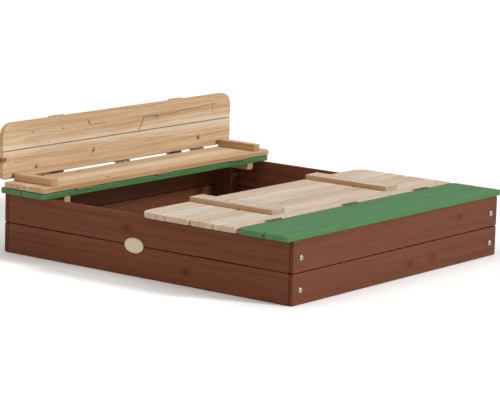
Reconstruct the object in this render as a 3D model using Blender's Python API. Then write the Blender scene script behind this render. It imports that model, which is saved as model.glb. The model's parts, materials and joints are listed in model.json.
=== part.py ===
"""Square wooden sandpit with two folding covers.

Each cover is a seat panel hinged to a fixed green seat, and a backrest hinged to the seat
panel. Lying flat, a cover closes its half of the pit. Turned over onto the green seat, it is a
bench whose battens hang down outside the box.

Metres, +Z up. The right cover is closed and the left one is open. Every length of a cover is
given for the closed right side, measured outwards (+X) from the middle of the box. The left
side is the right side turned half a turn about Z.
"""

import math

import bmesh
import bpy
from mathutils import Vector

# Box: two planks high on each side, the end planks over the ends of the side planks.
BOX_LENGTH = 1.180
BOX_WIDTH = 1.150
PLANK_HEIGHT = 0.0995
PLANK_THICKNESS = 0.015
PLANK_SEAM = 0.001
POST_LENGTH = 0.0775
POST_WIDTH = 0.040
POST_FOOT = 0.002

# Tongue-and-groove boards of the seats, panels and backrests.
BOARD_LENGTH = 1.206
BOARD_THICKNESS = 0.018
TONGUE_THICKNESS = 0.006
TONGUE_DEPTH = 0.006
BOARD_SEAM = 0.0008
SEAT_BOARDS = (0.0931, 0.1046)
PANEL_BOARDS = (0.0865, 0.0929)
BACKREST_BOARDS = {"right": (0.0913, 0.1077), "left": (0.0926, 0.0916)}
SEAT_JOINT = 0.0036
FOLD_JOINT = 0.0050

# Battens.
SUPPORT_WIDTH = 0.030
SUPPORT_HEIGHT = 0.021
SUPPORT_Y = 0.490
ARMREST_LENGTH = 0.169
ARMREST_WIDTH = 0.030
ARMREST_HEIGHT = 0.024
ARMREST_Y = 0.541
BATTEN_END = 0.336
BATTEN_WIDTH = 0.068
BATTEN_THICKNESS = 0.0155
BATTEN_Y = 0.315

# Butt hinges. The seat hinges' leaves are let into the top faces of the boards, and the fold
# hinges' leaves stand in the joint, against the board edges.
HINGE_LENGTH = 0.075
HINGE_Y = 0.410
KNUCKLES = 5
KNUCKLE_RADIUS = 0.0028
PIN_RADIUS = 0.0014
LEAF_THICKNESS = 0.0010
SEAT_LEAF_WIDTH = 0.0150
FOLD_LEAF_WIDTH = 0.0135
LEAF_PROUD = 0.0002
SEAT_AXIS_RISE = 0.0010
FOLD_AXIS_DROP = 0.0020

# Bolts through the end planks and posts.
BOLT_RADIUS = 0.004
BOLT_HEAD_RADIUS = 0.0095
BOLT_HEAD_HEIGHT = 0.0045
HEAD_FLAT_RADIUS = 0.0015
BOLT_TIP = 0.0008
BOLT_Y = 0.536
BOLT_RISE = 0.0455
BOLT_END = 0.010

GAP = 0.0003
EDGE_ROUND = 0.003
BATTEN_ROUND = 0.0015
EDGE_STEPS = 2
CORNER_STEPS = 5
HEAD_STEPS = 4
ROUND_SEGMENTS = 12

# Heights and the places of the two hinge axes, all worked out from the sizes above.
BOX_HEIGHT = 2 * PLANK_HEIGHT + PLANK_SEAM
BOARD_BOTTOM = BOX_HEIGHT + GAP
BOARD_TOP = BOARD_BOTTOM + BOARD_THICKNESS
SEAT_EDGE = BOX_LENGTH / 2 - sum(SEAT_BOARDS) - BOARD_SEAM
PANEL_EDGE = SEAT_EDGE - SEAT_JOINT
FOLD_EDGE = PANEL_EDGE - sum(PANEL_BOARDS) - BOARD_SEAM
BACKREST_EDGE = FOLD_EDGE - FOLD_JOINT
SEAT_AXIS = (SEAT_EDGE - SEAT_JOINT / 2, BOARD_TOP + SEAT_AXIS_RISE)
FOLD_AXIS = (FOLD_EDGE - FOLD_JOINT / 2, BOARD_BOTTOM - FOLD_AXIS_DROP)

# The origin is the middle of the footprint. The open cover's battens reach furthest on the
# left, and the bolt heads furthest on the right.
LEFT_REACH = (
    2 * SEAT_AXIS[0] - FOLD_AXIS[0] + FOLD_AXIS_DROP + BOARD_THICKNESS + GAP + BATTEN_THICKNESS
)
RIGHT_REACH = BOX_LENGTH / 2 + GAP + BOLT_HEAD_HEIGHT
BOX_X = (LEFT_REACH - RIGHT_REACH) / 2

SIDES = {"right": 1, "left": -1}
ENDS = {"front": -1, "rear": 1}
SEAT_TURN = {"right": 0.0, "left": math.pi}
BACKREST_TURN = {"right": 0.0, "left": -math.pi / 2}


def finish(name, colour, roughness, metallic=0.0):
    """A plain material of this colour (linear RGB)."""
    material = bpy.data.materials.new(name)
    material.use_nodes = True
    shader = material.node_tree.nodes["Principled BSDF"]
    shader.inputs["Base Color"].default_value = (*colour, 1.0)
    shader.inputs["Roughness"].default_value = roughness
    shader.inputs["Metallic"].default_value = metallic
    material.diffuse_color = (*colour, 1.0)
    return material


def empty(name, parent, location, turn=(0.0, 0.0, 0.0)):
    """A frame that pieces hang from."""
    frame = bpy.data.objects.new(name, None)
    bpy.context.scene.collection.objects.link(frame)
    frame.parent = parent
    frame.location = location
    frame.rotation_euler = turn
    return frame


def piece(name, mesh, material, parent, location, turn=(0.0, 0.0, 0.0)):
    """A solid of the model, placed in its parent's frame."""
    solid = bpy.data.objects.new(name, mesh)
    bpy.context.scene.collection.objects.link(solid)
    solid.parent = parent
    solid.location = location
    solid.rotation_euler = turn
    if not mesh.materials:
        mesh.materials.append(material)
    return solid


def tool(name, mesh, solid, operation, offset=(0.0, 0.0, 0.0), turn=(0.0, 0.0, 0.0)):
    """A hidden shape that joins or cuts a piece, placed in the piece's own frame."""
    shape = bpy.data.objects.new(name, mesh)
    bpy.context.scene.collection.objects.link(shape)
    shape.parent = solid
    shape.location = offset
    shape.rotation_euler = turn
    shape.hide_render = True
    shape.display_type = "WIRE"
    modifier = solid.modifiers.new(name, "BOOLEAN")
    modifier.operation = operation
    modifier.solver = "EXACT"
    modifier.object = shape


def mesh_from(name, rings):
    """A closed skin over rings with the same number of points each."""
    mesh = bmesh.new()
    loops = [[mesh.verts.new(point) for point in ring] for ring in rings]
    count = len(loops[0])
    for lower, upper in zip(loops, loops[1:]):
        for i in range(count):
            j = (i + 1) % count
            mesh.faces.new((lower[i], lower[j], upper[j], upper[i]))
    mesh.faces.new(loops[0][::-1])
    mesh.faces.new(loops[-1])
    bmesh.ops.recalc_face_normals(mesh, faces=mesh.faces)
    return stored(name, mesh)


def stored(name, mesh):
    data = bpy.data.meshes.new(name)
    mesh.to_mesh(data)
    mesh.free()
    data.shade_smooth()
    data.set_sharp_from_angle(angle=math.radians(40))
    return data


def outline(size, radii, inset):
    """A rectangle with rounded corners, pulled in by inset. Corners run ++, -+, --, +-."""
    points = []
    for corner, radius in enumerate(radii):
        side_x = 1 if corner in (0, 3) else -1
        side_y = 1 if corner in (0, 1) else -1
        centre_x = side_x * (size[0] / 2 - radius)
        centre_y = side_y * (size[1] / 2 - radius)
        steps = CORNER_STEPS if radius > 2 * EDGE_ROUND else 1
        for step in range(steps + 1):
            angle = math.radians(90 * (corner + step / steps))
            points.append(
                (
                    centre_x + (radius - inset) * math.cos(angle),
                    centre_y + (radius - inset) * math.sin(angle),
                )
            )
    return points


def slab(name, size, radii=None, edge=EDGE_ROUND):
    """A board of size (x, y, thickness), centred, with all its edges rounded.

    radii are the four corners' radii in plan, and edge is the radius along the faces.
    """
    smallest = edge + 0.0005
    radii = [max(radius, smallest) for radius in radii or [0.0] * 4]
    half = size[2] / 2
    levels = []
    for step in range(EDGE_STEPS + 1):
        angle = math.pi / 2 * step / EDGE_STEPS
        levels.append((-half + edge * (1 - math.cos(angle)), edge * (1 - math.sin(angle))))
    levels += [(-height, inset) for height, inset in reversed(levels)]
    rings = [[(x, y, z) for x, y in outline(size, radii, inset)] for z, inset in levels]
    return mesh_from(name, rings)


def block(name, low, high):
    """A plain box between two corners."""
    rings = []
    for z in (low[2], high[2]):
        corners = ((low[0], low[1]), (high[0], low[1]), (high[0], high[1]), (low[0], high[1]))
        rings.append([(x, y, z) for x, y in corners])
    return mesh_from(name, rings)


def turned(name, profile):
    """A round solid about X, from (x, radius) pairs. The ends are flat."""
    rings = []
    for x, radius in profile:
        ring = []
        for i in range(ROUND_SEGMENTS):
            angle = 2 * math.pi * i / ROUND_SEGMENTS
            ring.append((x, radius * math.cos(angle), radius * math.sin(angle)))
        rings.append(ring)
    return mesh_from(name, rings)


def rods_along_y(name, spans, radius):
    """Separate rods on the Y axis, one for each (start, end)."""
    mesh = bmesh.new()
    for start, end in spans:
        rings = []
        for y in (start, end):
            ring = []
            for i in range(ROUND_SEGMENTS):
                angle = 2 * math.pi * i / ROUND_SEGMENTS
                ring.append(mesh.verts.new((radius * math.cos(angle), y, radius * math.sin(angle))))
            rings.append(ring)
        for i in range(ROUND_SEGMENTS):
            j = (i + 1) % ROUND_SEGMENTS
            mesh.faces.new((rings[0][i], rings[0][j], rings[1][j], rings[1][i]))
        mesh.faces.new(rings[0][::-1])
        mesh.faces.new(rings[1])
    bmesh.ops.recalc_face_normals(mesh, faces=mesh.faces)
    return stored(name, mesh)


def plank(name, parent, material, location, length, turn_z=0.0):
    """One plank of the box, standing on edge along X before it is turned."""
    mesh = slab(name, (length, PLANK_HEIGHT, PLANK_THICKNESS))
    return piece(name, mesh, material, parent, location, (math.pi / 2, 0.0, turn_z))


def board_pair(names, widths, near, parent, origin, material, radii):
    """Two boards joined by tongue and groove, running along Y. It returns both.

    near is the X of the pair's outer edge, and the second board lies nearer the middle of the
    box. radii are the plan radii at the outer edge and at the inner edge.
    """
    height = BOARD_BOTTOM + BOARD_THICKNESS / 2
    middles = (near - widths[0] / 2, near - widths[0] - BOARD_SEAM - widths[1] / 2)
    corner_radii = ((radii[0], 0.0, 0.0, radii[0]), (0.0, radii[1], radii[1], 0.0))
    boards = []
    for name, width, middle, corners in zip(names, widths, middles, corner_radii):
        mesh = slab(name, (width, BOARD_LENGTH, BOARD_THICKNESS), corners)
        place = (middle - origin[0], 0.0, height - origin[1])
        boards.append(piece(name, mesh, material, parent, place))
    joint = widths[0] / 2
    half_length = BOARD_LENGTH / 2 - EDGE_ROUND
    half_tongue = TONGUE_THICKNESS / 2
    tongue = block(
        "tongue",
        (-joint - BOARD_SEAM - TONGUE_DEPTH, -half_length, -half_tongue),
        (-joint + 2 * EDGE_ROUND, half_length, half_tongue),
    )
    tool(names[0] + "_tongue", tongue, boards[0], "UNION")
    joint = widths[1] / 2
    groove = block(
        "groove",
        (joint - TONGUE_DEPTH - 2 * GAP, -BOARD_LENGTH, -half_tongue - GAP),
        (joint + EDGE_ROUND, BOARD_LENGTH, half_tongue + GAP),
    )
    tool(names[1] + "_groove", groove, boards[1], "DIFFERENCE")
    return boards


def let_in_hinges(board, axis_x, side):
    """Recesses in a board's top face for the leaves of the three seat hinges.

    axis_x is where the hinge axis lies in the board's own frame, and the board lies on the given
    side of it along X.
    """
    floor = BOARD_THICKNESS / 2 + LEAF_PROUD - LEAF_THICKNESS - GAP
    far = axis_x + side * (SEAT_LEAF_WIDTH + GAP)
    half = HINGE_LENGTH / 2 + GAP
    for number, y in enumerate((-HINGE_Y, 0.0, HINGE_Y)):
        low = (min(axis_x, far), y - half, floor)
        high = (max(axis_x, far), y + half, BOARD_THICKNESS)
        tool(f"{board.name}_recess_{number}", block("recess", low, high), board, "DIFFERENCE")


def knuckle_spans(owned):
    """The stretches of the hinge axis that a leaf's knuckles take up."""
    pitch = HINGE_LENGTH / KNUCKLES
    starts = [-HINGE_LENGTH / 2 + pitch * i for i in owned]
    return [(start + GAP, start + pitch - GAP) for start in starts]


def leaf_plate(name, owned, outwards, across, inner_face, width):
    """A leaf's plate with a neck to each of its knuckles.

    outwards is the direction the plate runs in from the axis, across is the direction of its
    thickness, and inner_face is how far from the axis its nearer face lies.
    """
    clear = KNUCKLE_RADIUS + GAP
    half = HINGE_LENGTH / 2
    points = [(-half, clear), (-half, width), (half, width), (half, clear)]
    for low, high in reversed(knuckle_spans(owned)):
        points += [(high, clear), (high, 0.0), (low, 0.0), (low, clear)]
    along = Vector((0.0, 1.0, 0.0))
    rings = []
    for offset in (inner_face, inner_face + LEAF_THICKNESS):
        rings.append([along * y + outwards * out + across * offset for y, out in points])
    return mesh_from(name, rings)


def seat_leaf_plate(name, owned, side):
    """A plate let into the top face of a board, on one side of the axis along X."""
    inner_face = SEAT_AXIS_RISE - LEAF_PROUD
    outwards = Vector((side, 0.0, 0.0))
    return leaf_plate(name, owned, outwards, Vector((0.0, 0.0, -1.0)), inner_face, SEAT_LEAF_WIDTH)


def fold_leaf_plate(name, owned, side):
    """A plate standing in the joint, against the board edge on one side of the axis."""
    inner_face = FOLD_JOINT / 2 - GAP - LEAF_THICKNESS
    across = Vector((side, 0.0, 0.0))
    return leaf_plate(name, owned, Vector((0.0, 0.0, 1.0)), across, inner_face, FOLD_LEAF_WIDTH)


def hinge(names, y, parents, origins, axis, plate_maker, material):
    """A butt hinge of two leaves. The first leaf holds the pin, the second has the bores."""
    half = HINGE_LENGTH / 2
    leaves = ((0, 2, 4), 1), ((1, 3), -1)
    for name, parent, origin, (owned, side) in zip(names, parents, origins, leaves):
        place = (axis[0] - origin[0], y, axis[1] - origin[1])
        leaf = piece(name, plate_maker(name, owned, side), material, parent, place)
        knuckles = rods_along_y("knuckles", knuckle_spans(owned), KNUCKLE_RADIUS)
        tool(name + "_knuckles", knuckles, leaf, "UNION")
        if side == 1:
            pin = rods_along_y("pin", [(-half + 2 * GAP, half - 2 * GAP)], PIN_RADIUS)
            tool(name + "_pin", pin, leaf, "UNION")
        else:
            bore = rods_along_y("bore", [(-half, half)], PIN_RADIUS + GAP)
            tool(name + "_bore", bore, leaf, "DIFFERENCE")


def bolt_holes(solid, places, turn):
    """Cuts a hole for a bolt at each place of the piece's own frame."""
    reach = 2 * POST_LENGTH
    for number, place in enumerate(places):
        drill = turned("drill", [(-reach, BOLT_RADIUS + GAP), (reach, BOLT_RADIUS + GAP)])
        tool(f"{solid.name}_hole_{number}", drill, solid, "DIFFERENCE", place, turn)


def build_box(root, sides, stain, steel):
    """The planks, posts and bolts."""
    side_length = BOX_LENGTH - 2 * PLANK_THICKNESS - 2 * PLANK_SEAM
    side_y = (BOX_WIDTH - PLANK_THICKNESS) / 2
    end_x = (BOX_LENGTH - PLANK_THICKNESS) / 2
    levels = {"lower": 0.0, "upper": PLANK_HEIGHT + PLANK_SEAM}
    for end, across in ENDS.items():
        for level, base in levels.items():
            height = base + PLANK_HEIGHT / 2
            plank(f"{end}_plank_{level}", root, stain, (0.0, across * side_y, height), side_length)
    for side, frame in sides.items():
        for level, base in levels.items():
            height = base + PLANK_HEIGHT / 2
            name = f"{side}_end_plank_{level}"
            end_plank = plank(name, frame, stain, (end_x, 0.0, height), BOX_WIDTH, math.pi / 2)
            rise = BOLT_RISE - PLANK_HEIGHT / 2
            places = [(BOLT_Y, rise, 0.0), (-BOLT_Y, rise, 0.0)]
            bolt_holes(end_plank, places, (0.0, math.pi / 2, 0.0))
        for end, across in ENDS.items():
            local = across * SIDES[side]
            build_corner(f"{end}_{side}", frame, local, levels, stain, steel)


def build_corner(name, frame, across, levels, stain, steel):
    """A corner post and the two bolts that hold the end planks to it."""
    post_height = BOX_HEIGHT - 2 * POST_FOOT
    mesh = slab(f"{name}_post", (POST_LENGTH, POST_WIDTH, post_height), None, BATTEN_ROUND)
    inner_x = BOX_LENGTH / 2 - PLANK_THICKNESS - GAP
    inner_y = BOX_WIDTH / 2 - PLANK_THICKNESS - GAP
    centre = (inner_x - POST_LENGTH / 2, across * (inner_y - POST_WIDTH / 2), BOX_HEIGHT / 2)
    post = piece(f"{name}_post", mesh, stain, frame, centre)
    heights = {level: base + BOLT_RISE for level, base in levels.items()}
    places = [(0.0, across * BOLT_Y - centre[1], height - centre[2]) for height in heights.values()]
    bolt_holes(post, places, (0.0, 0.0, 0.0))
    shank_end = -PLANK_THICKNESS - GAP - POST_LENGTH - BOLT_END
    profile = [
        (shank_end, BOLT_RADIUS - BOLT_TIP),
        (shank_end + BOLT_TIP, BOLT_RADIUS),
        (GAP, BOLT_RADIUS),
    ]
    for step in range(HEAD_STEPS):
        angle = math.pi / 2 * step / HEAD_STEPS
        x = GAP + BOLT_HEAD_HEIGHT * math.sin(angle)
        profile.append((x, BOLT_HEAD_RADIUS * math.cos(angle)))
    profile.append((GAP + BOLT_HEAD_HEIGHT, HEAD_FLAT_RADIUS))
    for level, height in heights.items():
        bolt = f"{name}_bolt_{level}"
        piece(bolt, turned(bolt, profile), steel, frame, (BOX_LENGTH / 2, across * BOLT_Y, height))


def build_seat(side, frame, paint, wood):
    """The fixed green seat and the two battens under it."""
    names = [f"{side}_seat_board_{place}" for place in ("outer", "inner")]
    edge = BOX_LENGTH / 2
    boards = board_pair(names, SEAT_BOARDS, edge, frame, (0.0, 0.0), paint, (0.015, 0.020))
    let_in_hinges(boards[1], SEAT_AXIS[0] - boards[1].location.x, 1)
    length = edge - SEAT_EDGE - PLANK_THICKNESS - 4 * GAP
    x = SEAT_EDGE + GAP + length / 2
    for end, across in ENDS.items():
        name = f"{side}_seat_support_{end}"
        mesh = slab(name, (length, SUPPORT_WIDTH, SUPPORT_HEIGHT), None, BATTEN_ROUND)
        y = across * SIDES[side] * SUPPORT_Y
        piece(name, mesh, wood, frame, (x, y, BOX_HEIGHT - SUPPORT_HEIGHT / 2))


def build_panel(side, frame, wood):
    """The seat panel with its two armrest battens, in the seat hinge's frame."""
    names = [f"{side}_panel_board_{place}" for place in ("hinged", "folding")]
    boards = board_pair(names, PANEL_BOARDS, PANEL_EDGE, frame, SEAT_AXIS, wood, (0.012, 0.010))
    let_in_hinges(boards[0], -boards[0].location.x, -1)
    x = FOLD_EDGE + 2 * GAP + ARMREST_LENGTH / 2
    z = BOX_HEIGHT - ARMREST_HEIGHT / 2
    for end, across in ENDS.items():
        name = f"{side}_armrest_{end}"
        mesh = slab(name, (ARMREST_LENGTH, ARMREST_WIDTH, ARMREST_HEIGHT), None, BATTEN_ROUND)
        y = across * SIDES[side] * ARMREST_Y
        piece(name, mesh, wood, frame, (x - SEAT_AXIS[0], y, z - SEAT_AXIS[1]))


def build_backrest(side, frame, wood):
    """The backrest with the two battens that become its legs, in the fold hinge's frame."""
    names = [f"{side}_backrest_board_{place}" for place in ("folding", "free")]
    widths = BACKREST_BOARDS[side]
    board_pair(names, widths, BACKREST_EDGE, frame, FOLD_AXIS, wood, (0.015, 0.045))
    free_edge = BACKREST_EDGE - sum(widths) - BOARD_SEAM
    batten_length = BATTEN_END - free_edge
    x = free_edge + batten_length / 2
    z = BOARD_TOP + GAP + BATTEN_THICKNESS / 2
    for end, across in ENDS.items():
        name = f"{side}_back_batten_{end}"
        mesh = slab(name, (batten_length, BATTEN_WIDTH, BATTEN_THICKNESS), None, BATTEN_ROUND)
        y = across * SIDES[side] * BATTEN_Y
        piece(name, mesh, wood, frame, (x - FOLD_AXIS[0], y, z - FOLD_AXIS[1]))


def build_hinges(side, fixed, panel, backrest, steel):
    """Two hinges on the seat joint and two on the fold."""
    for end, across in ENDS.items():
        y = across * SIDES[side] * HINGE_Y
        names = [f"{side}_seat_hinge_{end}_{leaf}" for leaf in ("fixed_leaf", "moving_leaf")]
        frames = (fixed, panel)
        hinge(names, y, frames, ((0.0, 0.0), SEAT_AXIS), SEAT_AXIS, seat_leaf_plate, steel)
        names = [f"{side}_fold_hinge_{end}_{leaf}" for leaf in ("panel_leaf", "back_leaf")]
        frames = (panel, backrest)
        hinge(names, y, frames, (SEAT_AXIS, FOLD_AXIS), FOLD_AXIS, fold_leaf_plate, steel)


def main():
    for existing in list(bpy.data.objects):
        bpy.data.objects.remove(existing, do_unlink=True)
    stain = finish("brown_stain", (0.155, 0.050, 0.030), 0.55)
    paint = finish("green_paint", (0.115, 0.270, 0.135), 0.45)
    wood = finish("spruce", (0.620, 0.440, 0.270), 0.60)
    steel = finish("zinc_steel", (0.520, 0.520, 0.500), 0.35, 0.9)
    root = empty("sandpit", None, (BOX_X, 0.0, 0.0))
    sides = {}
    for side, direction in SIDES.items():
        half_turn = 0.0 if direction == 1 else math.pi
        sides[side] = empty(f"{side}_side", root, (0.0, 0.0, 0.0), (0.0, 0.0, half_turn))
    build_box(root, sides, stain, steel)
    for side, fixed in sides.items():
        seat_axis = (SEAT_AXIS[0], 0.0, SEAT_AXIS[1])
        panel = empty(f"{side}_seat_axis", fixed, seat_axis, (0.0, SEAT_TURN[side], 0.0))
        fold = (FOLD_AXIS[0] - SEAT_AXIS[0], 0.0, FOLD_AXIS[1] - SEAT_AXIS[1])
        backrest = empty(f"{side}_fold_axis", panel, fold, (0.0, BACKREST_TURN[side], 0.0))
        build_seat(side, fixed, paint, wood)
        build_panel(side, panel, wood)
        build_backrest(side, backrest, wood)
        build_hinges(side, fixed, panel, backrest, steel)


main()
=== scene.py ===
"""Looks for the wooden sandpit with two folding covers.

Lengths of a cover are given for the closed right side, measured outwards (+X) from the middle
of the box, as in the model. placement() turns them into the places of both sides.
"""

import json
import math
import random

import bmesh
import bpy
from mathutils import Matrix, Vector


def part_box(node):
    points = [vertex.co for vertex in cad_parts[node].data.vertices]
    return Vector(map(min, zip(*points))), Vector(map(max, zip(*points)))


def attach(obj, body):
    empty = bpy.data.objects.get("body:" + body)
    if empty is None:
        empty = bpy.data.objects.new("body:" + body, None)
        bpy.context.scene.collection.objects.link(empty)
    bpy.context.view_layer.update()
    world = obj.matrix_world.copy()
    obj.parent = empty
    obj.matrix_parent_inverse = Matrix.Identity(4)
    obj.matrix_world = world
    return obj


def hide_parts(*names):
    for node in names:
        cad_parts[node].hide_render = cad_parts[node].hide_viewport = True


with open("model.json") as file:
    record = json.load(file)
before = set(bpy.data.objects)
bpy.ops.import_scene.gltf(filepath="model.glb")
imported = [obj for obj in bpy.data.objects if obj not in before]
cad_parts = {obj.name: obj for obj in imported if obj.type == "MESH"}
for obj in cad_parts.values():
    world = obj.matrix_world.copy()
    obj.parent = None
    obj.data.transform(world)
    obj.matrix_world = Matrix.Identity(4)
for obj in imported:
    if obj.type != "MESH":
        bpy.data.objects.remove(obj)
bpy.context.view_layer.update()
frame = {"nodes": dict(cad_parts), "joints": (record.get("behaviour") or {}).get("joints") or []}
nodes = frame["nodes"]
joints = {joint["name"]: joint for joint in frame["joints"]}

# The camera looks at a point near the middle of the box, from the front right.
CAMERA_AZIMUTH = 37.186
CAMERA_ELEVATION = 10.035
CAMERA_ROLL = 1.728
CAMERA_DISTANCE = 8.406
CAMERA_AIM = (-0.0083, 0.1769)
LENS = 181.48

# Light, as irradiance: the key is a small sun, the others are wide and soft.
WORLD_LIGHT = 0.26
KEY_LIGHT = 2.50
OVERHEAD_LIGHT = 1.30
FILL_LIGHT = 1.00
FILL_COLOUR = (1.0, 0.84, 0.68)
# Where the lights stand, as azimuth and elevation, and how wide they are, in degrees.
KEY_FROM = (19, 31)
FILL_FROM = (-100, 24)
LIGHT_DISTANCE = 8.0
KEY_WIDTH = 9
SOFT_WIDTH = 60
FLOOR_SIZE = 60.0
FLOOR_DROP = 0.0005

# Places read off the model.
FRONT_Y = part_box("front_plank_lower")[0].y
RIGHT_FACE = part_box("right_end_plank_upper")[1].x
LEFT_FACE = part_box("left_end_plank_upper")[0].x
BOX_X = (RIGHT_FACE + LEFT_FACE) / 2
BOX_HALF = (RIGHT_FACE - LEFT_FACE) / 2
BOLT_LEVELS = ("lower", "upper")
BOLT_BOXES = [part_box(f"front_right_bolt_{level}") for level in BOLT_LEVELS]
BOLT_HEIGHTS = [sum(corner.z for corner in box) / 2 for box in BOLT_BOXES]
BOLT_Y = abs(sum(corner.y for corner in BOLT_BOXES[0]) / 2)
POST_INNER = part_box("front_right_post")[0].x - BOX_X
SEAT_AXIS = Vector(joints["right_seat_fold"]["pos_m"]) - Vector((BOX_X, 0, 0))
FOLD_AXIS = Vector(joints["right_back_fold"]["pos_m"]) - Vector((BOX_X, 0, 0))
BOARD_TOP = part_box("right_seat_board_outer")[1].z
BATTEN_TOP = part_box("right_back_batten_front")[1].z
FOLD_JOINT = 2 * (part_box("right_panel_board_folding")[0].x - BOX_X - FOLD_AXIS.x)

# Small fittings.
HINGE_LENGTH = 0.075
HINGE_Y = (-0.410, 0.0, 0.410)
KNUCKLES = 5
KNUCKLE_RADIUS = 0.0028
PIN_RADIUS = 0.0014
LEAF_THICKNESS = 0.0010
LEAF_PROUD = 0.0002
SEAT_LEAF_WIDTH = 0.0150
FOLD_LEAF_WIDTH = 0.0135
LEAF_CORNER = 0.0020
SCREW_RADIUS = 0.0026
SCREW_SPREAD = 0.36 * HINGE_LENGTH
GAP = 0.0003
BOLT_RADIUS = 0.004
BOLT_HEAD_RADIUS = 0.0095
BOLT_HEAD_HEIGHT = 0.0045
BOLT_END = 0.010
SOCKET_RADIUS = 0.0029
SOCKET_DEPTH = 0.0028
WASHER_RADIUS = 0.008
WASHER_THICKNESS = 0.0015
NUT_RADIUS = 0.0075
NUT_THICKNESS = 0.0062
NAIL_RADIUS = 0.0021
NAIL_HEIGHT = 0.0004
PLAQUE_SIZE = (0.077, 0.049, 0.0050)
PLAQUE_PLACE = (-0.032, 0.1005)

# Rows of nails: where each row stands, and its nails' heights or places across the row.
END_NAIL_Y = 0.533
END_NAIL_HEIGHTS = (0.015, 0.082, 0.115, 0.180)
FRONT_NAIL_X = 0.511
FRONT_NAIL_HEIGHTS = (0.016, 0.081, 0.120, 0.183)
SEAT_NAIL_Y = 0.490
SEAT_NAIL_X = (0.415, 0.470, 0.515, 0.562)
PANEL_NAIL_Y = 0.541
PANEL_NAIL_X = (0.235, 0.278, 0.315, 0.362)
BATTEN_NAIL_Y = 0.315
BATTEN_NAIL_X = (0.045, 0.090, 0.130, 0.180)
BATTEN_NAIL_SHIFT = 0.018

# Edges sharper than these angles, in degrees, stay sharp in the shading.
FITTING_CREASE = 38
WOOD_CREASE = 50

# Knots that stand out: along the grain, across it, and the radius.
KNOTS = {
    "left_backrest_board_folding": (
        (-0.441, -0.022, 0.0052),
        (-0.153, 0.003, 0.0042),
        (0.418, -0.012, 0.0055),
        (-0.597, 0.016, 0.0080),
    ),
    "left_backrest_board_free": (
        (0.182, 0.000, 0.0042),
        (-0.308, 0.004, 0.0025),
        (-0.462, 0.007, 0.0025),
        (-0.178, 0.012, 0.0032),
    ),
    "right_end_plank_lower": ((0.060, -0.008, 0.013), (0.187, -0.006, 0.011)),
    "right_end_plank_upper": ((0.343, 0.008, 0.010),),
    "front_plank_upper": ((-0.068, 0.002, 0.011),),
    "front_plank_lower": ((0.176, -0.006, 0.010),),
}
# Dark resin lines and checks: start and end, as (along, across), and width.
STREAKS = {
    "left_backrest_board_free": (
        ((0.112, 0.000), (0.084, -0.044), 0.0040),
        ((0.108, 0.001), (0.185, 0.000), 0.0032),
        ((0.185, -0.002), (0.475, 0.012), 0.0022),
        ((0.497, 0.018), (0.497, -0.014), 0.0022),
        ((0.480, 0.012), (0.520, 0.012), 0.0020),
        ((-0.186, 0.022), (-0.172, 0.004), 0.0028),
        ((-0.176, 0.003), (-0.090, 0.002), 0.0018),
    ),
    "left_backrest_board_folding": (
        ((-0.149, 0.012), (-0.157, -0.008), 0.0032),
        ((0.417, 0.004), (0.417, -0.020), 0.0028),
    ),
    "right_backrest_board_folding": (((-0.080, 0.010), (0.010, 0.012), 0.0026),),
    "right_panel_board_folding": (((0.210, -0.012), (0.300, -0.010), 0.0018),),
}
# Boards that meet side by side. Where they are tongued, the first of the pair has the tongue.
PAIRS = (("outer", "inner"), ("hinged", "folding"), ("folding", "free"), ("lower", "upper"))

# A mark beyond a piece's edge, so that the piece shows no knot at all.
NO_KNOTS = ((0.2, 0.2, 0.001),)
# A board with half its length above this counts as long.
LONG_HALF = 0.3
# How far in from an edge its wear starts and ends.
WEAR_START = 0.004
WEAR_END = 0.0005
# Half widths of the dark line, painted shade with some dirt in the joint, and of the pale stripe
# where two boards meet.
SEAM_SHADE_LINE = (0.0034, 0.0010)
SEAM_STRIPE = (0.050, 0.015)
STREAK_DEPTH = 0.75

# In each look, side is painted shade: a darker, warmer colour multiplied onto each board's long edge
# faces.
BARE = {
    "early": (0.585, 0.500, 0.410),
    "late": (0.400, 0.290, 0.195),
    "sapwood": (0.640, 0.570, 0.485),
    "knot": (0.150, 0.070, 0.035),
    "edge": (0.440, 0.310, 0.190),
    "side": (0.86, 0.68, 0.50),
    # The seam colour and its depth, here and in the looks below, are painted shade, with some dirt,
    # in the joints between boards.
    "seam": (0.150, 0.090, 0.050),
    "seam_depth": 0.45,
    "knot_depth": 0.88,
    "contrast": 0.55,
    "bands": 0.60,
    "roughness": 0.62,
    "sheen": 0.30,
}
WARM = dict(
    BARE,
    early=(0.575, 0.415, 0.265),
    late=(0.330, 0.185, 0.085),
    sapwood=(0.640, 0.530, 0.400),
    edge=(0.42, 0.26, 0.13),
    side=(0.92, 0.84, 0.74),
)
STAIN = {
    "early": (0.148, 0.046, 0.019),
    "late": (0.074, 0.021, 0.009),
    "sapwood": (0.148, 0.046, 0.019),
    "knot": (0.040, 0.013, 0.007),
    "edge": (0.190, 0.072, 0.040),
    "side": (1.0, 1.0, 1.0),
    "seam": (0.012, 0.004, 0.003),
    "seam_depth": 0.85,
    "knot_depth": 0.40,
    "contrast": 0.35,
    "bands": 0.50,
    "roughness": 0.55,
    "sheen": 0.15,
}
PAINT = {
    "early": (0.080, 0.215, 0.090),
    "late": (0.044, 0.150, 0.055),
    "sapwood": (0.080, 0.215, 0.090),
    "knot": (0.020, 0.090, 0.032),
    "edge": (0.060, 0.240, 0.062),
    "side": (0.63, 0.75, 0.48),
    "seam": (0.008, 0.045, 0.016),
    "seam_depth": 0.80,
    "knot_depth": 0.45,
    "contrast": 0.45,
    "bands": 0.45,
    "roughness": 0.48,
    "sheen": 0.35,
}


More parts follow.
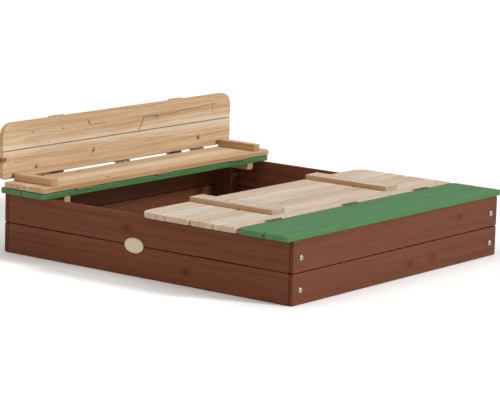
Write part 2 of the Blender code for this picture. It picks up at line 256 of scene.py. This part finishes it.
class Graph:
    """Adds shader nodes to a tree and joins them."""

    def __init__(self, tree):
        self.tree = tree

    def node(self, kind, inputs=(), **settings):
        """A new node, with settings as its attributes and inputs by name or number."""
        made = self.tree.nodes.new(kind)
        for name, value in settings.items():
            setattr(made, name, value)
        for key, value in dict(inputs).items():
            self.feed(made.inputs[key], value)
        return made

    def feed(self, socket, value):
        """Links a socket to a node's output, or sets its constant."""
        if isinstance(value, bpy.types.NodeSocket):
            self.tree.links.new(value, socket)
        elif isinstance(value, tuple) and len(value) == 3 and socket.type == "RGBA":
            socket.default_value = (*value, 1.0)
        else:
            socket.default_value = value

    def math(self, operation, *values, clamp=False):
        inputs = dict(enumerate(values))
        return self.node("ShaderNodeMath", inputs, operation=operation, use_clamp=clamp).outputs[0]

    def combine(self, x, y, z):
        return self.node("ShaderNodeCombineXYZ", {"X": x, "Y": y, "Z": z}).outputs[0]

    def vector(self, operation, first, second):
        made = self.node("ShaderNodeVectorMath", {0: first, 1: second}, operation=operation)
        return made.outputs[0]

    def dot(self, first, second):
        made = self.node("ShaderNodeVectorMath", {0: first, 1: second}, operation="DOT_PRODUCT")
        return made.outputs["Value"]

    def product(self, first, second):
        return self.math("MULTIPLY", first, second)

    def length(self, first, second):
        """The length of two steps at right angles."""
        squares = self.math("ADD", self.product(first, first), self.product(second, second))
        return self.math("SQRT", squares)

    def sway(self, value, reach):
        """A noise of 0 to 1 as a shift of up to half the reach either way."""
        return self.math("MULTIPLY_ADD", value, reach, -reach / 2)

    def split(self, vector):
        return self.node("ShaderNodeSeparateXYZ", {"Vector": vector}).outputs

    def noise(self, vector, scale=1.0, detail=2.0, roughness=0.5):
        inputs = {"Vector": vector, "Scale": scale, "Detail": detail, "Roughness": roughness}
        return self.node("ShaderNodeTexNoise", inputs).outputs

    def ramp(self, value, low, high):
        """0 where value is at low and 1 where it is at high, smoothly, whichever is larger."""
        inputs = {"Value": value, "From Min": low, "From Max": high}
        return self.node("ShaderNodeMapRange", inputs, interpolation_type="SMOOTHSTEP").outputs[0]

    def mix(self, factor, first, second, blend="MIX"):
        made = self.node("ShaderNodeMix", data_type="RGBA", blend_type=blend)
        self.feed(made.inputs[0], factor)
        self.feed(made.inputs[6], first)
        self.feed(made.inputs[7], second)
        return made.outputs[2]


def group(name, inputs, outputs):
    """A node group with (name, socket type) inputs and outputs, and its graph and ends."""
    tree = bpy.data.node_groups.new(name, "ShaderNodeTree")
    for socket, kind in inputs:
        tree.interface.new_socket(socket, in_out="INPUT", socket_type=f"NodeSocket{kind}")
    for socket in outputs:
        tree.interface.new_socket(socket, in_out="OUTPUT", socket_type="NodeSocketFloat")
    graph = Graph(tree)
    return tree, graph, graph.node("NodeGroupInput").outputs, graph.node("NodeGroupOutput").inputs


def grain_group():
    """Growth rings, fine fibres and slow changes of tone of a sawn board.

    Along runs with the grain. The rings are circles about the pith, a line beside the board that
    wanders slowly, so a face shows long arches and an end shows arcs.
    """
    inputs = (
        ("Place", "Vector"),
        ("Seed", "Float"),
        ("Pith", "Vector"),
        ("Bend", "Float"),
        ("Ring", "Float"),
    )
    tree, g, given, result = group("grain", inputs, ("Rings", "Fibre", "Band", "Tone"))
    along, across, depth = g.split(given["Place"])
    start = g.math("MULTIPLY_ADD", along, 1.1, given["Seed"])
    slow = g.combine(start, g.product(across, 7.0), g.product(depth, 7.0))
    wander = g.split(g.noise(slow, 1.0, 2.0)["Color"])
    _, pith_across, pith_depth = g.split(given["Pith"])
    sideways = g.math("ADD", g.math("SUBTRACT", across, pith_across), g.sway(wander[0], 0.022))
    inwards = g.math("ADD", g.math("SUBTRACT", depth, pith_depth), g.sway(wander[1], 0.018))
    radius = g.math("ADD", g.length(sideways, inwards), given["Bend"])
    turn = g.math("FRACT", g.math("DIVIDE", radius, given["Ring"]))
    rise = g.math("POWER", turn, 2.2)
    fall = g.ramp(turn, 1.0, 0.90)
    g.feed(result["Rings"], g.product(rise, fall))
    for output, long_scale, cross_scale, detail in (
        ("Fibre", 9.0, 420.0, 3.0),
        ("Band", 1.3, 75.0, 2.5),
        ("Tone", 1.8, 16.0, 2.0),
    ):
        lengthways = g.math("MULTIPLY_ADD", along, long_scale, given["Seed"])
        crossways = g.product(sideways, cross_scale)
        stretched = g.combine(lengthways, crossways, g.product(inwards, cross_scale))
        g.feed(result[output], g.noise(stretched, 1.0, detail, 0.55)["Fac"])
    return tree


def knot_group():
    """A knot: how far it pushes the rings aside, where it shows, and its own rings."""
    inputs = (("Place", "Vector"), ("Centre", "Vector"), ("Radius", "Float"))
    tree, g, given, result = group("knot", inputs, ("Bend", "Mask", "Halo"))
    along, across, depth = g.split(given["Place"])
    knot_along, knot_across, _ = g.split(given["Centre"])
    ragged = g.noise(given["Place"], 160.0, 2.0)["Fac"]
    longways = g.product(g.math("SUBTRACT", along, knot_along), 0.62)
    sideways = g.math("SUBTRACT", across, knot_across)
    distance = g.math("DIVIDE", g.length(longways, sideways), given["Radius"])
    distance = g.math("ADD", distance, g.sway(ragged, 0.5))
    bell = g.math("EXPONENT", g.product(g.product(distance, distance), -0.16))
    g.feed(result["Bend"], g.product(bell, g.product(given["Radius"], 1.6)))
    g.feed(result["Mask"], g.ramp(distance, 1.10, 0.80))
    g.feed(result["Halo"], g.ramp(distance, 2.60, 0.90))
    return tree


def streak_group():
    """A thin dark line from start to end, fading out at its sides, with a slight wobble."""
    inputs = (("Place", "Vector"), ("Start", "Vector"), ("End", "Vector"), ("Width", "Float"))
    tree, g, given, result = group("streak", inputs, ("Mask",))
    along, across, _ = g.split(given["Place"])
    wobble = g.noise(given["Place"], 45.0, 2.0)["Fac"]
    across = g.math("ADD", across, g.sway(wobble, 0.008))
    flat = g.combine(along, across, 0.0)
    course = g.vector("SUBTRACT", given["End"], given["Start"])
    offset = g.vector("SUBTRACT", flat, given["Start"])
    share = g.math("DIVIDE", g.dot(offset, course), g.dot(course, course), clamp=True)
    nearest = g.node("ShaderNodeVectorMath", {0: course, 3: share}, operation="SCALE").outputs[0]
    rest = g.vector("SUBTRACT", offset, nearest)
    distance = g.math("SQRT", g.dot(rest, rest))
    g.feed(result["Mask"], g.ramp(g.math("DIVIDE", distance, given["Width"]), 1.0, 0.35))
    return tree


GRAIN = grain_group()
KNOT = knot_group()
STREAK = streak_group()


def use(graph, tree, **inputs):
    """A node group in a graph, its inputs given by their names in lower case."""
    made = graph.node("ShaderNodeGroup", node_tree=tree)
    for name, value in inputs.items():
        graph.feed(made.inputs[name.capitalize()], value)
    return made.outputs


def board_place(graph, low, high, order):
    """A point from the board's middle, as a vector and as its parts, and its face's direction.

    All are given as (along, across, depth).
    """
    middle = (low + high) / 2
    coordinates = graph.node("ShaderNodeTexCoord").outputs
    centred = graph.vector("SUBTRACT", coordinates["Object"], tuple(middle))
    parts = graph.split(centred)
    directions = graph.split(coordinates["Normal"])
    axes = [parts[axis] for axis in order]
    return graph.combine(*axes), axes, [directions[axis] for axis in order]


def stray_knots(dice, half):
    """Up to two small knots for a board that has no marked ones, from its half sizes."""
    count = dice.choice((0, 1, 1, 2)) if half[0] > LONG_HALF else dice.choice((0, 0, 1))
    knots = []
    for _ in range(count):
        along = dice.uniform(-0.85, 0.85) * half[0]
        across = dice.uniform(-0.6, 0.6) * half[1]
        knots.append((along, across, dice.uniform(0.0030, 0.0055)))
    return knots


def edge_wear(g, place, axes, half):
    """Where a board's long and short edges are scuffed, from 0 to 1."""
    depths = [g.math("ABSOLUTE", axis) for axis in axes]
    near = [g.ramp(depth, edge - WEAR_START, edge - WEAR_END) for depth, edge in zip(depths, half)]
    corner = g.product(near[1], near[2])
    corner = g.math("MAXIMUM", corner, g.product(near[0], near[2]))
    corner = g.math("MAXIMUM", corner, g.product(near[0], near[1]))
    scuffs = g.ramp(g.noise(place, 60.0, 3.0)["Fac"], 0.35, 0.70)
    return g.product(corner, g.product(scuffs, 0.7))


def wood(name, look, low, high, knots=(), streaks=(), seams=()):
    """A sawn board's material, with the grain along its longest side."""
    sizes = high - low
    order = sorted(range(3), key=lambda axis: -sizes[axis])
    dice = random.Random(name)
    material = bpy.data.materials.new(name + "_wood")
    material.use_nodes = True
    g = Graph(material.node_tree)
    shader = material.node_tree.nodes["Principled BSDF"]
    place, axes, normal = board_place(g, low, high, order)
    half = [sizes[axis] / 2 for axis in order]

    bend = 0.0
    knot_mask = 0.0
    halo = 0.0
    for along, across, radius in knots or stray_knots(dice, half):
        knot = use(g, KNOT, place=place, centre=(along, across, 0.0), radius=radius)
        bend = g.math("ADD", bend, knot["Bend"])
        knot_mask = g.math("MAXIMUM", knot_mask, knot["Mask"])
        halo = g.math("MAXIMUM", halo, knot["Halo"])
    pith = (0.0, dice.uniform(-0.5, 0.5) * half[1], -half[2] - dice.uniform(0.004, 0.030))
    seed = dice.uniform(0.0, 90.0)
    ring = dice.uniform(0.0034, 0.0052)
    grain = use(g, GRAIN, place=place, seed=seed, pith=pith, bend=bend, ring=ring)
    streak_mask = 0.0
    for start, end, width in streaks:
        streak = use(g, STREAK, place=place, start=(*start, 0.0), end=(*end, 0.0), width=width)
        streak_mask = g.math("MAXIMUM", streak_mask, streak["Mask"])

    rings = g.product(grain["Rings"], look["contrast"])
    colour = g.mix(rings, look["early"], look["late"])
    band = g.ramp(grain["Band"], 0.42, 0.72)
    colour = g.mix(g.product(band, look["bands"]), colour, look["late"])
    tone = g.ramp(grain["Tone"], 0.30, 0.72)
    warm = tuple(channel * factor for channel, factor in zip(look["late"], (1.25, 1.15, 1.05)))
    colour = g.mix(g.product(tone, 0.32), colour, warm)
    seam_distances = [g.math("ABSOLUTE", g.math("SUBTRACT", axes[1], seam)) for seam in seams]
    for distance in seam_distances:
        ragged = g.math("ADD", distance, g.product(grain["Tone"], 0.03))
        stripe = g.product(g.ramp(ragged, *SEAM_STRIPE), 0.75)
        colour = g.mix(stripe, colour, look["sapwood"])
    fibre = g.ramp(grain["Fibre"], 0.25, 0.75)
    shade = g.math("MULTIPLY_ADD", fibre, 0.28, dice.uniform(0.82, 0.89))
    colour = g.mix(1.0, colour, g.combine(shade, shade, shade), "MULTIPLY")
    colour = g.mix(g.product(halo, 0.35), colour, warm)
    colour = g.mix(g.product(knot_mask, look["knot_depth"]), colour, look["knot"])
    colour = g.mix(g.product(streak_mask, STREAK_DEPTH), colour, look["knot"])
    # Painted shade, with some dirt, along the gap where two boards meet.
    for distance in seam_distances:
        line = g.product(g.ramp(distance, *SEAM_SHADE_LINE), look["seam_depth"])
        colour = g.mix(line, colour, look["seam"])

    colour = g.mix(edge_wear(g, place, axes, half), colour, look["edge"])
    end_grain = g.ramp(g.math("ABSOLUTE", normal[0]), 0.75, 0.98)
    dark = g.mix(1.0, colour, (0.74, 0.70, 0.66), "MULTIPLY")
    colour = g.mix(g.product(end_grain, 0.8), colour, dark)
    # Painted shade: the long edge faces, across the grain, are darkened and warmed by the look's side
    # colour.
    painted_side_shade = g.ramp(g.math("ABSOLUTE", normal[1]), 0.60, 0.95)
    colour = g.mix(painted_side_shade, colour, g.mix(1.0, colour, look["side"], "MULTIPLY"))
    g.feed(shader.inputs["Base Color"], colour)

    shader.inputs["Specular IOR Level"].default_value = look["sheen"]
    rough = g.math("MULTIPLY_ADD", fibre, 0.14, look["roughness"] - 0.07)
    rough = g.math("ADD", rough, g.product(end_grain, 0.15), clamp=True)
    g.feed(shader.inputs["Roughness"], rough)
    height = g.math("MULTIPLY_ADD", grain["Fibre"], 0.55, g.product(grain["Rings"], 0.35))
    height = g.math("ADD", height, g.product(knot_mask, -0.5))
    height = g.math("ADD", height, g.product(streak_mask, -0.9))
    bump = g.node("ShaderNodeBump", {"Height": height, "Strength": 0.45, "Distance": 0.0008})
    g.feed(shader.inputs["Normal"], bump.outputs[0])
    return material


def metal(name, bright, dull, roughness):
    """Zinc-plated steel with a cloudy passivated finish and fine scratches."""
    material = bpy.data.materials.new(name)
    material.use_nodes = True
    g = Graph(material.node_tree)
    shader = material.node_tree.nodes["Principled BSDF"]
    place = g.node("ShaderNodeTexCoord").outputs["Object"]
    cloud = g.ramp(g.noise(place, 180.0, 4.0, 0.6)["Fac"], 0.30, 0.70)
    scratch = g.noise(place, 1800.0, 2.0)["Fac"]
    g.feed(shader.inputs["Base Color"], g.mix(cloud, bright, dull))
    g.feed(shader.inputs["Roughness"], g.math("MULTIPLY_ADD", cloud, 0.18, roughness))
    shader.inputs["Metallic"].default_value = 0.85
    bump = g.node("ShaderNodeBump", {"Height": scratch, "Strength": 0.25, "Distance": 0.0001})
    g.feed(shader.inputs["Normal"], bump.outputs[0])
    return material


def add(name, mesh, material, body, replaced=()):
    """A finished piece: its mesh is already in the row frame."""
    data = bpy.data.meshes.new(name)
    bmesh.ops.recalc_face_normals(mesh, faces=mesh.faces)
    mesh.to_mesh(data)
    mesh.free()
    data.shade_smooth()
    data.set_sharp_from_angle(angle=math.radians(FITTING_CREASE))
    piece = bpy.data.objects.new(name, data)
    bpy.context.scene.collection.objects.link(piece)
    data.materials.append(material)
    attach(piece, body)
    if replaced:
        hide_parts(*replaced)
    return piece


def turned(axis, angle):
    """A turn about a line along Y through a point."""
    return Matrix.Translation(axis) @ Matrix.Rotation(angle, 4, "Y") @ Matrix.Translation(-axis)


def placement(side, group_name):
    """From the closed right side's lengths to the row frame at rest."""
    matrix = Matrix.Translation((BOX_X, 0.0, 0.0))
    if side == "right":
        return matrix
    matrix = matrix @ Matrix.Rotation(math.pi, 4, "Z")
    if group_name == "box":
        return matrix
    matrix = matrix @ turned(SEAT_AXIS, math.pi)
    if group_name == "seat_panel":
        return matrix
    return matrix @ turned(FOLD_AXIS, -math.pi / 2)


def body_name(side, group_name):
    """The box is one body, and each side has its own seat panel and backrest."""
    return "box" if group_name == "box" else f"{side}_{group_name}"


def oval(across, upright, segments):
    """The points of an oval from its half widths, or of a circle where they are the same."""
    angles = [2 * math.pi * i / segments for i in range(segments)]
    return [(across * math.cos(angle), upright * math.sin(angle)) for angle in angles]


def loft(mesh, sections, matrix, hollow=False):
    """A solid through outlines of (x, y) at heights.

    It has flat ends or, where it is hollow, goes from its last outline back to its first.
    """
    rings = []
    for z, outline in sections:
        rings.append([mesh.verts.new(matrix @ Vector((x, y, z))) for x, y in outline])
    following = rings[1:] + rings[:1] if hollow else rings[1:]
    for ring, other in zip(rings, following):
        for i in range(len(ring)):
            j = (i + 1) % len(ring)
            mesh.faces.new((ring[i], ring[j], other[j], other[i]))
    if not hollow:
        mesh.faces.new(rings[0][::-1])
        mesh.faces.new(rings[-1])


def lathe(mesh, profile, matrix, segments=24):
    """A round solid about local Z, from (z, radius) pairs."""
    loft(mesh, [(z, oval(radius, radius, segments)) for z, radius in profile], matrix)


def tube(mesh, start, end, inner, outer, matrix, segments=20):
    """A short round tube about local Z."""
    walls = ((start, inner), (start, outer), (end, outer), (end, inner))
    sections = [(z, oval(radius, radius, segments)) for z, radius in walls]
    loft(mesh, sections, matrix, hollow=True)


def dome(radius, height, base=0.0, steps=5):
    """The profile of a low round head standing on a face."""
    profile = []
    for step in range(steps):
        angle = math.pi / 2 * step / steps
        profile.append((base + height * math.sin(angle), radius * math.cos(angle)))
    return profile + [(base + height, radius * 0.12)]


# Local Z along Y, for hinges, and along X, for bolts.
ALONG_Y = Matrix.Rotation(-math.pi / 2, 4, "X")
ALONG_X = Matrix.Rotation(math.pi / 2, 4, "Y")


def knuckle_spans(owned):
    """The start and end of each of a leaf's knuckles along the hinge."""
    pitch = HINGE_LENGTH / KNUCKLES
    slots = [(-HINGE_LENGTH / 2 + pitch * i, -HINGE_LENGTH / 2 + pitch * (i + 1)) for i in owned]
    return [(low + GAP / 2, high - GAP / 2) for low, high in slots]


def leaf_outline(owned, width):
    """A leaf from above, as (along the axis, out from it), with a neck at each of its knuckles."""
    half = HINGE_LENGTH / 2
    clear = KNUCKLE_RADIUS + GAP
    outline = [(-half, clear), (-half, width - LEAF_CORNER), (-half + LEAF_CORNER, width)]
    outline += [(half - LEAF_CORNER, width), (half, width - LEAF_CORNER), (half, clear)]
    neck = KNUCKLE_RADIUS * 0.7
    for low, high in reversed(knuckle_spans(owned)):
        outline += [(high, clear), (high, neck), (low, neck), (low, clear)]
    return outline


def leaf(at_axis, owned, outwards, upwards, face, width):
    """A hinge leaf: its plate, its knuckles, its screws and, where it has the end ones, the pin.

    outwards is the direction the plate runs in from the axis, upwards the side its screws are
    driven from, and face the height of that side above the axis.
    """
    mesh = bmesh.new()
    for low, high in knuckle_spans(owned):
        tube(mesh, low, high, PIN_RADIUS + 0.0001, KNUCKLE_RADIUS, at_axis @ ALONG_Y)
    along = Vector((0.0, 1.0, 0.0))
    to_plate = at_axis @ Matrix((along, outwards, upwards)).transposed().to_4x4()
    outline = leaf_outline(owned, width)
    loft(mesh, [(face - LEAF_THICKNESS, outline), (face, outline)], to_plate)
    for along_leaf in (-SCREW_SPREAD, 0.0, SCREW_SPREAD):
        place = Vector((along_leaf, (width + KNUCKLE_RADIUS) / 2, face))
        lathe(mesh, dome(SCREW_RADIUS, 0.00015, -0.0001, 2), to_plate @ Matrix.Translation(place), 16)
    if 0 in owned:
        half = HINGE_LENGTH / 2
        head = ((half - 0.0008, PIN_RADIUS), (half, PIN_RADIUS + 0.0005), (half + 0.0002, PIN_RADIUS))
        profile = [(-z, radius) for z, radius in reversed(head)] + list(head)
        lathe(mesh, profile, at_axis @ ALONG_Y, 16)
    return mesh


def hinges(material):
    """Three butt hinges on each of the four joints.

    The seat hinges are let into the boards' top faces, and the fold hinges stand in the joint.
    """
    ends = {-1: "front", 0: "middle", 1: "rear"}
    seat_face = BOARD_TOP + LEAF_PROUD - SEAT_AXIS.z
    fold_face = GAP + LEAF_THICKNESS - FOLD_JOINT / 2
    up = Vector((0.0, 0.0, 1.0))
    out = Vector((1.0, 0.0, 0.0))
    # Each leaf: its line, its body, its own name, its knuckles, the way it runs and its screws' side.
    leaves = (
        ("seat", "box", "fixed_leaf", (0, 2, 4), out, up),
        ("fold", "seat_panel", "panel_leaf", (0, 2, 4), up, -out),
        ("seat", "seat_panel", "moving_leaf", (1, 3), -out, up),
        ("fold", "backrest", "back_leaf", (1, 3), up, out),
    )
    lines = {
        "seat": (SEAT_AXIS, seat_face, SEAT_LEAF_WIDTH),
        "fold": (FOLD_AXIS, fold_face, FOLD_LEAF_WIDTH),
    }
    for side in ("right", "left"):
        for y in HINGE_Y:
            where = (y > 0) - (y < 0)
            end = ends[where if side == "right" else -where]
            for line, group_name, leaf_name, owned, outwards, upwards in leaves:
                axis, face, width = lines[line]
                at_axis = placement(side, group_name) @ Matrix.Translation((axis.x, y, axis.z))
                mesh = leaf(at_axis, owned, outwards, upwards, face, width)
                add_leaf(f"{side}_{line}_hinge_{end}_{leaf_name}", mesh, side, group_name, material)


def add_leaf(node, mesh, side, group_name, material):
    """A finished leaf, in place of the model's plain one where there is one."""
    replaced = (node,) if node in nodes else ()
    add(node + "_detail", mesh, material, body_name(side, group_name), replaced)


def bolts(material):
    """Round-headed bolts with a washer and a nut on the post's inner face."""
    inner = POST_INNER - BOX_HALF
    for side in ("right", "left"):
        matrix = placement(side, "box")
        for across in (-1, 1):
            end = "front" if (across < 0) == (side == "right") else "rear"
            for level, height in zip(BOLT_LEVELS, BOLT_HEIGHTS):
                at_face = matrix @ Matrix.Translation((BOX_HALF, across * BOLT_Y, height)) @ ALONG_X
                mesh = bmesh.new()
                tip = inner - BOLT_END
                profile = [(tip, BOLT_RADIUS - 0.0008), (tip + 0.0008, BOLT_RADIUS)]
                profile += [(GAP, BOLT_RADIUS), (GAP, BOLT_HEAD_RADIUS - 0.0006)]
                profile += dome(BOLT_HEAD_RADIUS, BOLT_HEAD_HEIGHT - 0.0008, GAP + 0.0008, 7)[:-1]
                rim = GAP + BOLT_HEAD_HEIGHT - 0.0002
                profile += [(rim, SOCKET_RADIUS + 0.0002), (rim - 0.0004, SOCKET_RADIUS)]
                profile += [(rim - SOCKET_DEPTH, SOCKET_RADIUS - 0.0002)]
                lathe(mesh, profile, at_face, 36)
                name = f"{end}_{side}_bolt_{level}"
                add(name + "_detail", mesh, material, "box", (name,))
                mesh = bmesh.new()
                washer = at_face @ Matrix.Translation((0, 0, inner - WASHER_THICKNESS - GAP))
                tube(mesh, 0.0, WASHER_THICKNESS, BOLT_RADIUS + GAP, WASHER_RADIUS, washer, 28)
                nut = washer @ Matrix.Translation((0, 0, -NUT_THICKNESS - 0.0001))
                hex_nut(mesh, nut)
                add(f"{end}_{side}_nut_{level}", mesh, material, "box")


def hex_nut(mesh, matrix):
    """A hexagon nut with a clear hole."""
    segments = 24
    sixth = math.pi / 3
    hexagon = []
    for i in range(segments):
        angle = 2 * math.pi * i / segments
        from_flat = (i % 4) / 4 * sixth - sixth / 2
        radius = NUT_RADIUS * math.cos(sixth / 2) / math.cos(from_flat)
        hexagon.append((radius * math.cos(angle), radius * math.sin(angle)))
    hole = oval(BOLT_RADIUS + 0.0001, BOLT_RADIUS + 0.0001, segments)
    sections = ((0.0, hexagon), (NUT_THICKNESS, hexagon), (NUT_THICKNESS, hole), (0.0, hole))
    loft(mesh, sections, matrix, hollow=True)


def nail_rows():
    """Each body's nail heads, as matrices whose +Z points out of the wood."""
    rows = {}

    def put(side, group_name, place, turn):
        matrix = placement(side, group_name) @ Matrix.Translation(place) @ turn
        rows.setdefault(body_name(side, group_name), []).append(matrix)

    up = Matrix.Identity(4)
    for side in ("right", "left"):
        for across in (-1, 1):
            for height in END_NAIL_HEIGHTS:
                put(side, "box", (BOX_HALF, across * END_NAIL_Y, height), ALONG_X)
            for height in FRONT_NAIL_HEIGHTS:
                turn = Matrix.Rotation(across * -math.pi / 2, 4, "X")
                put(side, "box", (FRONT_NAIL_X, across * -FRONT_Y, height), turn)
            for x in SEAT_NAIL_X:
                put(side, "box", (x, across * SEAT_NAIL_Y, BOARD_TOP), up)
            for x in PANEL_NAIL_X:
                put(side, "seat_panel", (x, across * PANEL_NAIL_Y, BOARD_TOP), up)
            for x in BATTEN_NAIL_X:
                for shift in (-BATTEN_NAIL_SHIFT, BATTEN_NAIL_SHIFT):
                    put(side, "backrest", (x, across * BATTEN_NAIL_Y + shift, BATTEN_TOP), up)
    return rows


def nails(material):
    """All the nails of a body, as one piece."""
    for body, matrices in nail_rows().items():
        mesh = bmesh.new()
        for matrix in matrices:
            profile = [(-0.003, 0.0011), (-0.0004, 0.0012), (0.0, NAIL_RADIUS - 0.0002)]
            lathe(mesh, profile + dome(NAIL_RADIUS, NAIL_HEIGHT, 0.0001, 3), matrix, 12)
        add(f"{body}_nails", mesh, material, body)


def plaque(material):
    """A plain oval wooden plaque with a raised rim, across the joint of the front planks."""
    width, height, thickness = PLAQUE_SIZE
    rim = 0.004
    # Each step of the face: its height above the back, and how far in from the outline it is.
    steps = (
        (0.0, 0.0004),
        (thickness * 0.15, 0.0),
        (thickness * 0.80, 0.0),
        (thickness * 0.95, 0.0006),
        (thickness, 0.0018),
        (thickness, rim),
        (thickness * 0.82, rim + 0.0012),
        (thickness * 0.86, 0.014),
    )
    matrix = Matrix.Translation((PLAQUE_PLACE[0] + BOX_X, FRONT_Y - GAP, PLAQUE_PLACE[1]))
    matrix = matrix @ Matrix.Rotation(math.pi / 2, 4, "X")
    mesh = bmesh.new()
    sections = [(z, oval(width / 2 - inset, height / 2 - inset, 72)) for z, inset in steps]
    loft(mesh, sections, matrix)
    add("plaque", mesh, material, "box")


def look_of(name):
    """Seats are painted and the box stained. The left cover's bare wood is the warmer one."""
    if "seat_board" in name:
        return PAINT
    if "plank" in name or "post" in name:
        return STAIN
    return WARM if name.startswith("left") else BARE


def seams_of(name):
    """Where a board meets its neighbour, across the grain from the middle of its box."""
    low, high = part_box(name)
    axis = sorted(range(3), key=lambda i: low[i] - high[i])[1]
    middle = (low[axis] + high[axis]) / 2
    found = []
    for first, second in PAIRS:
        for own, other in ((first, second), (second, first)):
            partner = name[: -len(own)] + other
            if not name.endswith("_" + own) or partner not in nodes:
                continue
            other_low, other_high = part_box(partner)
            above = other_low[axis] + other_high[axis] > 2 * middle
            face, other_face = (high, other_low) if above else (low, other_high)
            overlapping = (face[axis] - other_face[axis]) * (1 if above else -1) > 0.001
            seam = other_face[axis] if overlapping and own == first else face[axis]
            found.append(seam - middle)
    return found


def dress_boards():
    """Each wooden node gets its own grain, and smooth shading over its rounded edges."""
    for name, node in nodes.items():
        if "_bolt_" in name or "_hinge_" in name:
            continue
        low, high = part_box(name)
        knots, streaks = KNOTS.get(name, ()), STREAKS.get(name, ())
        material = wood(name, look_of(name), low, high, knots, streaks, seams_of(name))
        node.data.materials.clear()
        node.data.materials.append(material)
        node.data.shade_smooth()
        node.data.set_sharp_from_angle(angle=math.radians(WOOD_CREASE))
        weighted = node.modifiers.new("weighted_normals", "WEIGHTED_NORMAL")
        weighted.keep_sharp = True
        weighted.weight = 100


def lamp(name, kind, place, energy, target=(0.0, 0.0, 0.15), **settings):
    """A light at a place, turned towards a target."""
    light = bpy.data.lights.new(name, kind)
    light.energy = energy
    for setting, value in settings.items():
        setattr(light, setting, value)
    holder = bpy.data.objects.new(name, light)
    bpy.context.scene.collection.objects.link(holder)
    holder.location = place
    holder.rotation_euler = (Vector(target) - Vector(place)).to_track_quat("-Z", "Y").to_euler()


def around(azimuth, elevation, distance):
    """A place seen from the middle of the box. Azimuth 0 is +X and 90 is +Y, in degrees."""
    turn, rise = math.radians(azimuth), math.radians(elevation)
    flat = distance * math.cos(rise)
    return (flat * math.cos(turn), flat * math.sin(turn), distance * math.sin(rise))


def studio():
    """A pale floor, a dim white surround, a key light from the right, and soft fills."""
    world = bpy.data.worlds.new("studio")
    bpy.context.scene.world = world
    world.use_nodes = True
    background = world.node_tree.nodes["Background"]
    background.inputs["Color"].default_value = (1.0, 1.0, 1.0, 1.0)
    background.inputs["Strength"].default_value = WORLD_LIGHT
    narrow, soft = math.radians(KEY_WIDTH), math.radians(SOFT_WIDTH)
    lamp("key", "SUN", around(*KEY_FROM, LIGHT_DISTANCE), KEY_LIGHT, angle=narrow)
    lamp("overhead", "SUN", (0.0, 0.0, LIGHT_DISTANCE), OVERHEAD_LIGHT, angle=soft)
    fill_place = around(*FILL_FROM, LIGHT_DISTANCE)
    lamp("fill", "SUN", fill_place, FILL_LIGHT, angle=soft, color=FILL_COLOUR)
    bpy.ops.mesh.primitive_plane_add(size=FLOOR_SIZE, location=(0.0, 0.0, -FLOOR_DROP))
    floor = bpy.context.object
    floor.name = "floor"
    material = bpy.data.materials.new("floor")
    material.use_nodes = True
    shader = material.node_tree.nodes["Principled BSDF"]
    shader.inputs["Base Color"].default_value = (0.92, 0.92, 0.92, 1.0)
    shader.inputs["Roughness"].default_value = 0.9
    floor.data.materials.append(material)


def camera():
    """The camera, placed from its angles and aimed near the middle of the box."""
    azimuth, elevation = math.radians(CAMERA_AZIMUTH), math.radians(CAMERA_ELEVATION)
    back = Vector(
        (
            math.sin(azimuth) * math.cos(elevation),
            -math.cos(azimuth) * math.cos(elevation),
            math.sin(elevation),
        )
    )
    right = (-back).cross(Vector((0.0, 0.0, 1.0))).normalized()
    up = right.cross(-back)
    turn = Matrix.Rotation(math.radians(CAMERA_ROLL), 3, back)
    right = turn @ right
    up = turn @ up
    data = bpy.data.cameras.new("camera")
    data.lens = LENS
    data.sensor_width = 36.0
    data.clip_end = 100.0
    view = bpy.data.objects.new("camera", data)
    bpy.context.scene.collection.objects.link(view)
    aim = Vector((BOX_X, 0.0, 0.0)) + right * CAMERA_AIM[0] + up * CAMERA_AIM[1]
    facing = Matrix((right, up, back)).transposed().to_4x4()
    view.matrix_world = Matrix.Translation(aim + back * CAMERA_DISTANCE) @ facing
    bpy.context.scene.camera = view


def main():
    """Dresses the wood, adds the fittings, and sets up the studio."""
    zinc = metal("zinc_plate", (0.50, 0.50, 0.48), (0.30, 0.29, 0.28), 0.26)
    yellow_zinc = metal("yellow_zinc_plate", (0.36, 0.31, 0.22), (0.14, 0.12, 0.08), 0.34)
    dark_steel = metal("nail_steel", (0.060, 0.050, 0.045), (0.030, 0.025, 0.022), 0.50)
    dress_boards()
    hinges(yellow_zinc)
    bolts(zinc)
    nails(dark_steel)
    size = Vector(PLAQUE_SIZE)
    centre = Vector((PLAQUE_PLACE[0] + BOX_X, FRONT_Y, PLAQUE_PLACE[1]))
    reach = Vector((size.x, 0.006, size.y)) / 2
    pale = dict(BARE, early=(0.62, 0.55, 0.40), late=(0.50, 0.41, 0.27), edge=(0.40, 0.30, 0.18))
    plaque(wood("plaque", pale, centre - reach, centre + reach, NO_KNOTS))
    studio()
    camera()
    bpy.context.scene.view_settings.view_transform = "Standard"


main()
